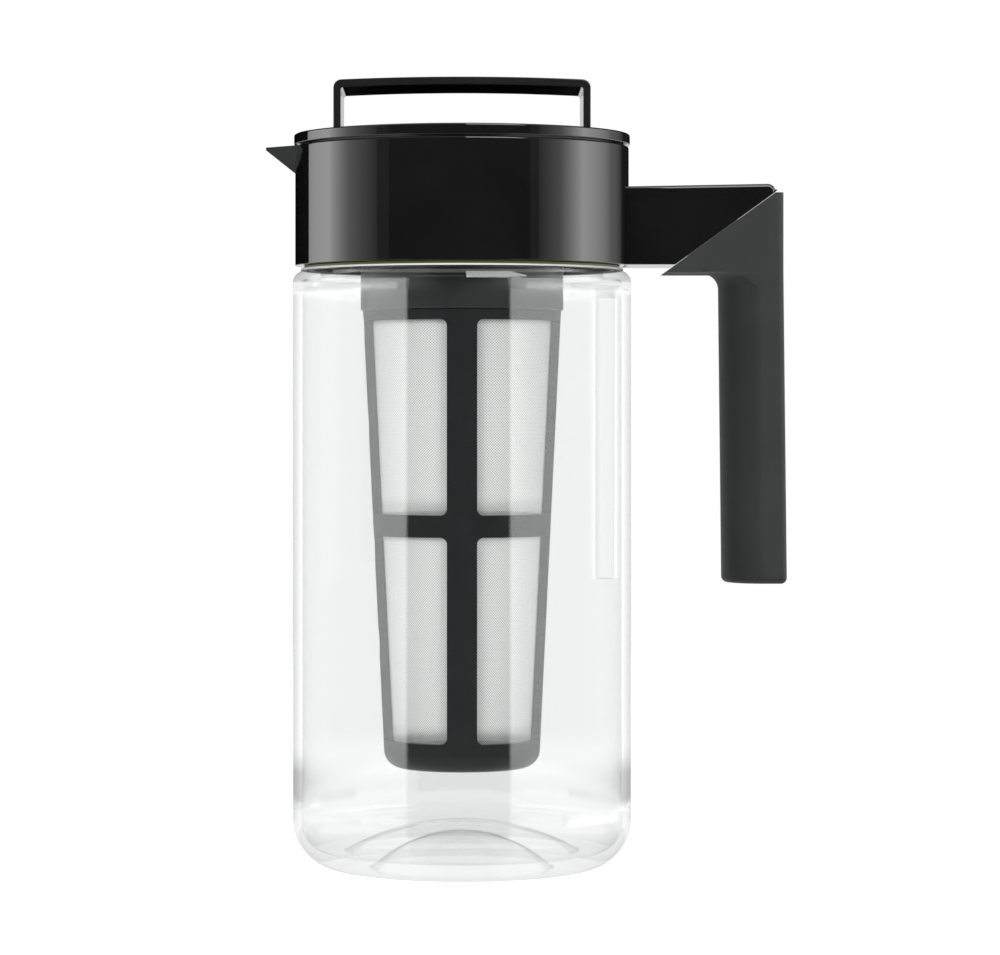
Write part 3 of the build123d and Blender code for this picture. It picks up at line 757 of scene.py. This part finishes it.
def strap():
    mesh = bmesh.new()
    inside = STRAP_HALF_SPAN - STRAP
    outer = arch_line(mesh, STRAP_HALF_SPAN, STRAP_TOP, STRAP_ARCH)
    inner = arch_line(mesh, inside, STRAP_TOP - STRAP, STRAP_ARCH)
    feet = [mesh.verts.new(place(x, STRAP_FOOT))
            for x in (-STRAP_HALF_SPAN, -inside, inside, STRAP_HALF_SPAN)]
    mesh.faces.new(outer + feet[:2] + inner[::-1] + feet[2:])
    end_z = STRAP_TOP - STRAP_ARCH
    for side in (-1, 1):
        round_corner(mesh, (side * STRAP_HALF_SPAN, end_z), STRAP_OUTER_BEND, 8)
        round_corner(mesh, (side * inside, end_z - STRAP), STRAP_INNER_BEND, 5)
    thicken(mesh, STRAP_HALF_DEPTH)
    bevel_edges(mesh, rim_edges(mesh, STRAP_HALF_DEPTH), STRAP_BEVEL, 3)
    return make_piece(mesh, "strap", "lid", STRAP_FINISH, ["bail"])


strap()

# %% [markdown]
# ## The woven filter
#
# Behind the frame's windows lies a sleeve of fine nylon cloth, woven on the slant. It is a
# sheet, so it is modelled as one thin tapered surface with its own flat map: across the
# map runs the way round, up the map runs the height. The threads are drawn on that map,
# because a pattern read from the object's own place would stretch where the cone turns.
# The photograph shows the cloth darker just above each row's sill: painted shade there.

# %% Nylon cloth
THREAD_PITCH, THREAD_RELIEF = 0.50, 0.03 * MM
GAP_COLOUR, THREAD_COLOUR, GLOW_COLOUR = (0.32, 0.33, 0.32), (1.0, 1.0, 1.0), (0.96, 0.96, 0.95)
GLOW_SHARE, OPEN_SHARE = 0.45, 0.55
WINDOW_SILLS, SILL_SHADE, SILL_BELOW, SILL_PAINTED_SHADE = (34.2, 94.2), 5.5, 1.5, 0.55


def nylon_cloth():
    finish = Finish("nylon_mesh")
    across = finish.node("SeparateXYZ", {}, {0: finish.coordinates("UV")}, "X")
    up = across.sibling("Y")
    turns = math.tau / (THREAD_PITCH * MM) / math.sqrt(2)
    warp = ((across + up) * turns).sine()
    weft = ((across - up) * turns).sine()
    thread = warp.most(weft)
    relief = thread * 0.5 + 0.5
    # Painted shade: the cloth's colour is darkened just above each window's sill.
    shade = 0
    for sill in WINDOW_SILLS:
        above = up - sill * MM
        shade = finish.fade(above, SILL_SHADE * MM, 0.0) * (above > -SILL_BELOW * MM) + shade
    relief = relief - shade * SILL_PAINTED_SHADE
    cloth = finish.surface({
        "Base Color": finish.blend_colour(relief, GAP_COLOUR, THREAD_COLOUR), "Roughness": 0.55,
        "Specular IOR Level": 0.35, "Normal": finish.bump(relief, THREAD_RELIEF, 0.5)})
    glow = finish.node("BsdfTranslucent", {}, {"Color": (*GLOW_COLOUR, 1)})
    woven = finish.mix(GLOW_SHARE, cloth, glow)
    open_share = (1 - relief) ** 2.0 * OPEN_SHARE
    return finish.close(finish.mix(open_share, woven, finish.see_through()))


CLOTH = nylon_cloth()

# %% Filter cloth
CLOTH_LOW, CLOTH_TOP = 32.2, 146.15
FRAME_WALL, CLOTH_GAP, HALF_CLOTH = 2.2, 0.15, 0.175
CLOTH_STEPS, CLOTH_CUTS = 144, 11
FRAME_LOW, FRAME_TOP = 26.7, 147.9
FRAME_LOW_R, FRAME_TOP_R = 20.55, 26.4


def frame_radius(height):
    """Outer radius of the tapered frame at a height."""
    share = (height - FRAME_LOW) / (FRAME_TOP - FRAME_LOW)
    return FRAME_LOW_R + share * (FRAME_TOP_R - FRAME_LOW_R)


def filter_cloth():
    mesh = bmesh.new()
    inset = FRAME_WALL + CLOTH_GAP + HALF_CLOTH
    low_r, top_r = frame_radius(CLOTH_LOW) - inset, frame_radius(CLOTH_TOP) - inset
    draw_line(mesh, [(low_r, CLOTH_LOW), (top_r, CLOTH_TOP)])
    bmesh.ops.subdivide_edges(mesh, edges=mesh.edges[:], cuts=CLOTH_CUTS, use_grid_fill=True)
    turn(mesh, CLOTH_STEPS)
    flat_map = mesh.loops.layers.uv.new("flat")
    middle_r = (low_r + top_r) / 2 * MM
    for face in mesh.faces:
        centre = face.calc_center_median()
        around = math.atan2(centre.y, centre.x)
        for loop in face.loops:
            own = math.atan2(loop.vert.co.y, loop.vert.co.x)
            step = (own - around + math.pi) % math.tau - math.pi
            loop[flat_map].uv = ((around + step) * middle_r, loop.vert.co.z)
    piece = make_piece(mesh, "filter_cloth", "filter", CLOTH, ["filter_mesh"])
    slant = math.hypot(CLOTH_TOP - CLOTH_LOW, top_r - low_r)
    math.tau * top_r * MM
    math.pi * (low_r + top_r) * slant * MM**2
    return piece


filter_cloth()

# %% [markdown]
# ## Solids that stay
#
# The frame of the filter and the three gaskets of the lid already have their right shape
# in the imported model, so they only get their finishes.

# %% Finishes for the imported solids
KEPT = {"filter_frame": FRAME, "rim_gasket": SEAL, "plug_gasket": SEAL, "filter_gasket": SEAL}
for node, finish in KEPT.items():
    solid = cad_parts[node]
    solid.data.materials.clear()
    solid.data.materials.append(finish.material)
print("dressed", len(KEPT), "packed solids")

# %% [markdown]
# ## The white studio
#
# Clear and gloss plastic show mostly what they mirror, so the studio matters as much as
# the finish. The camera finds plain white, and a ray that goes straight through the jug
# finds a slightly greyer white. Matt surfaces find an even grey room. A mirrored ray finds
# a dark room with two tall soft cards at its sides, and those cards draw the upright bands
# on the collar and the haze on the jug.
#
# The cards are painted on the world by direction: how far to the side a ray goes, from 0
# towards the camera to 180 degrees away from it, picks a brightness from a ramp. Its slope,
# rise over run, picks the pair of cards: the jug and the collar were lit by cards of
# different width. The low pair grows dimmer towards the jug's foot and is brighter in a
# strip beside the handle. A small window high on the right puts a glint on rounded rims.

# %% Cards of the studio
HALF_TURN = 180.0
BRIGHTEST = 5.0
HIGH_LEFT = [(0, 0.02), (51, 0.02), (51.3, 0.15), (59.7, 0.15), (60, 0.35), (84, 1.6), (104, 4.5),
             (118, 3.0), (131, 1.6), (131.4, 0.0), (175, 0.0), (176, 0.82)]
HIGH_RIGHT = [(0, 0.02), (47, 0.02), (47.3, 0.15), (53.7, 0.15), (54, 0.35), (71, 1.3), (91, 5.0),
              (109, 2.6), (124, 0.8), (145, 0.03), (175, 0.0), (176, 0.82)]
LOW_FAR_HALF = [(78, 2.5), (110, 2.16), (122, 1.85), (130, 1.62), (137, 1.37), (145, 1.1),
                (156, 0.92), (178, 0.8), (178.1, 0.0)]
LOW_LEFT = [(0, 0.0), (37.5, 0.0), (38.5, 2.5)] + LOW_FAR_HALF
LOW_RIGHT = [(0, 0.0), (32.5, 0.0), (33.5, 2.5)] + LOW_FAR_HALF
BESIDE_HANDLE = [(98, 0.0), (104, 1.05), (108, 2.15), (123, 2.15), (129, 1.1), (134, 0.0)]
HANDLE_SLOPES = (-0.0437, 0.0307)
LOW_CARD_TOP, HIGH_CARD_TOP, CEILING = 0.0375, 0.45, 1.0
CEILING_LIGHT, FAR_DARK = 1.4, 0.02
FOOT_FADE, SIDE_FADE = (-0.100, -0.088, 0.45), (70, 150, 0.0, 0.62)
WINDOW_ANGLES, WINDOW_SLOPES, WINDOW_LIGHT = (3.0, 45.0), (0.2, 1.6), 7.0


def card_light(sky, angle, stops):
    """Brightness of a card at an angle off the camera, from stops in degrees."""
    ramp = [(degrees / HALF_TURN, light / BRIGHTEST) for degrees, light in stops]
    return sky.node("ValToRGB", {"stops": ramp}, {0: angle / HALF_TURN}) * BRIGHTEST


def either(share, when_false, when_true):
    """One of two numbers, by a share of 0 or 1."""
    return share * when_true + (1 - share) * when_false


def between(value, limits):
    """1 where a value lies between two limits, and 0 elsewhere."""
    return (value > limits[0]) * (value < limits[1])


def mirrored_room(sky, right, angle, slope):
    """What a mirrored ray finds: a low and a high pair of cards, a ceiling and a window."""
    low = either(right, card_light(sky, angle, LOW_LEFT), card_light(sky, angle, LOW_RIGHT))
    low = right * between(slope, HANDLE_SLOPES) * card_light(sky, angle, BESIDE_HANDLE) + low
    low = low * sky.fade(slope, *FOOT_FADE).most(sky.fade(angle, *SIDE_FADE))
    high = either(right, card_light(sky, angle, HIGH_LEFT), card_light(sky, angle, HIGH_RIGHT))
    above = either(slope > CEILING, FAR_DARK, CEILING_LIGHT)
    light = either(slope > HIGH_CARD_TOP, either(slope > LOW_CARD_TOP, low, high), above)
    window = right * between(angle, WINDOW_ANGLES) * between(slope, WINDOW_SLOPES)
    return either(window, light, WINDOW_LIGHT)


print("cards up to", BRIGHTEST, "and a window of", WINDOW_LIGHT)

# %% [markdown]
# ## What a ray has been through
#
# The same white wall has to be white, grey or dark for different rays. One way is to hang
# real cards and hide them from some rays, but an object can't tell a ray that has crossed
# the jug's wall from one that hasn't. The Light Path node can: it counts how often a ray
# has passed through clear plastic, been mirrored or been scattered. The photograph has
# hardly any reflections from inside the jug, so those are turned down to an eighth. Steep
# rays inside the wall keep a steady light, or the wall's edges would turn black.

# %% World
ROOM_GREY, BEHIND_GLASS = 0.30, 0.81
STEEP, INSIDE_WALL_LIGHT, INSIDE_JUG_SHARE = 0.25, 0.9, 0.12


class Ray:
    """What a material or the world can ask of the ray that looks at it, each as 1 or 0."""

    def __init__(self, network):
        self.camera = network.node("LightPath", out="Is Camera Ray")
        walls = self.camera.sibling("Transmission Depth")
        self.matt = self.camera.sibling("Diffuse Depth") > 0.5
        self.mirrored = (self.camera.sibling("Glossy Depth") > 0.5) * (1 - self.matt)
        through_film = self.camera * self.camera.sibling("Transparent Depth")
        seen_through = self.camera.sibling("Is Transmission Ray").most(through_film)
        self.through = (seen_through > 0.5) * (1 - self.matt) * (1 - self.mirrored)
        self.behind_wall = self.mirrored * (walls > 0.5)
        self.in_jug = self.mirrored * (walls > 3.5)


def studio_world():
    world = bpy.data.worlds.new("studio")
    bpy.context.scene.world = world
    world.use_nodes = True
    world.cycles.sampling_method = "NONE"
    sky = Network(world.node_tree, "ShaderNodeOutputWorld")
    x = sky.node("SeparateXYZ", {}, {0: sky.coordinates("Generated")}, "X")
    y, z = x.sibling("Y"), x.sibling("Z")
    angle = x.math("ARCTAN2", abs(x), y * -1) * (HALF_TURN / math.pi)
    slope = z / x.math("SQRT", x * x + y * y)
    light = mirrored_room(sky, x > 0, angle, slope)
    ray = Ray(sky)
    light = either(ray.in_jug, light, light * INSIDE_JUG_SHARE)
    light = either(ray.behind_wall * (abs(slope) > STEEP), light, INSIDE_WALL_LIGHT)
    light = either(ray.matt, light, ROOM_GREY)
    light = either(ray.through, either(ray.camera, light, 1.0), BEHIND_GLASS)
    sky.close(sky.node("Background", {}, {"Color": (1, 1, 1, 1), "Strength": light}))
    print("world has", len(sky.tree.nodes), "nodes")


studio_world()

# %% [markdown]
# ## The floor
#
# The floor is a pale disc under the object. Lamps light it, so it keeps the object's
# shadow, and a glow that the camera sees lifts it to white, more and more towards its
# edge, so that it melts into the background. Seen through the jug it is glow alone.
# Mirrors find it only close to the object, and farther out they look past it at the cards.

# %% Floor
FLOOR_R, FLOOR_DROP, FLOOR_NEAR = 0.9, 0.05 * MM, 0.12
GLOW_FADE, BEHIND_FADE = (FLOOR_NEAR, 0.6, 0.62), (0.25, 0.45, 0.98, BEHIND_GLASS)
FLOOR_PAINT = (0.8, 0.8, 0.8, 1)


def add_to_stage(mesh, name, finish):
    """Put a mesh in the scene as part of the studio, not of the object."""
    data = bpy.data.meshes.new(name)
    mesh.to_mesh(data)
    mesh.free()
    data.materials.append(finish.material)
    prop = bpy.data.objects.new(name, data)
    bpy.context.scene.collection.objects.link(prop)


def floor():
    finish = Finish("studio_floor")
    away = finish.node("VectorMath", {"operation": "LENGTH"}, {0: finish.coordinates()}, "Value")
    lift, behind = finish.fade(away, *GLOW_FADE), finish.fade(away, *BEHIND_FADE)
    ray, near = Ray(finish), away < FLOOR_NEAR
    in_wall = ray.behind_wall * near
    # Seen through glass the floor is only glow; seen directly it is lamplight with some glow.
    strength = either(ray.through, ray.camera * lift, behind) + in_wall
    glow = finish.node("Emission", {}, {"Color": (1, 1, 1, 1), "Strength": strength})
    matt = finish.node("BsdfDiffuse", {}, {"Color": FLOOR_PAINT})
    lit = finish.node("AddShader", {}, {0: glow, 1: matt})
    lit = finish.mix(ray.through.most(in_wall), lit, glow)
    finish.close(finish.mix(ray.mirrored * (1 - near), lit, finish.see_through()))
    finish.material.cycles.emission_sampling = "NONE"
    mesh = bmesh.new()
    bmesh.ops.create_circle(mesh, cap_ends=True, segments=96, radius=FLOOR_R)
    bmesh.ops.translate(mesh, verts=mesh.verts[:], vec=UP * -FLOOR_DROP)
    add_to_stage(mesh, "studio_floor", finish)


floor()

# %% [markdown]
# ## Lamps
#
# Three soft area lamps give the plain light that lands on matt surfaces. Mirrors don't see
# them, because the cards already stand for them there.

# %% Lamps for matt surfaces
def lamp(name, spot, size, watts):
    """Square area lamp that looks at the middle of the object."""
    data = bpy.data.lights.new(name, "AREA")
    data.shape, data.size, data.energy = "SQUARE", size, watts
    light = bpy.data.objects.new(name, data)
    light.location = spot
    aim = Vector((0, 0, 0.1)) - Vector(spot)
    light.rotation_euler = aim.to_track_quat("-Z", "Y").to_euler()
    light.visible_glossy = light.visible_transmission = light.visible_camera = False
    bpy.context.scene.collection.objects.link(light)
    print(name, watts, "W")


lamp("left_lamp", (-0.65, -1.0, 0.4), 0.6, 14)
lamp("right_lamp", (0.65, -1.0, 0.3), 0.6, 11)
lamp("top_lamp", (0.0, 0.1, 1.2), 0.8, 8)

# %% [markdown]
# ## The camera
#
# The photograph was taken level, at three quarters of the jug's height and one metre
# away, through a long lens. The camera stays level, so upright lines stay upright, and a
# small shift of the lens puts the object where it is in the frame.

# %% Camera
EYE_DISTANCE, EYE_HEIGHT = 1003.0, 120.78
PHOTO_WIDTH, PHOTO_HEIGHT = 1000, 955
SENSOR, FOCAL_PIXELS = 36.0, 3763.0
AXIS_PIXEL, HORIZON_PIXEL = 462.0, 413.5

camera_data = bpy.data.cameras.new("camera")
camera = bpy.data.objects.new("camera", camera_data)
bpy.context.scene.collection.objects.link(camera)
bpy.context.scene.camera = camera
camera.location = Vector((0, -EYE_DISTANCE, EYE_HEIGHT)) * MM
camera.rotation_euler = (math.radians(90), 0, 0)
camera_data.sensor_fit = "HORIZONTAL"
camera_data.sensor_width = SENSOR
camera_data.lens = FOCAL_PIXELS / PHOTO_WIDTH * SENSOR
camera_data.shift_x = (PHOTO_WIDTH / 2 - AXIS_PIXEL) / PHOTO_WIDTH
camera_data.shift_y = (HORIZON_PIXEL - PHOTO_HEIGHT / 2) / PHOTO_WIDTH
camera_data.clip_start = 0.01
shift = [round(value, 4) for value in (camera_data.shift_x, camera_data.shift_y)]
print("lens", round(camera_data.lens, 2), "mm, shift", shift)

# %% [markdown]
# ## Finish
#
# The plain colour view keeps blacks and whites as they are written.

# %% Finish
bpy.context.scene.view_settings.view_transform = "Standard"
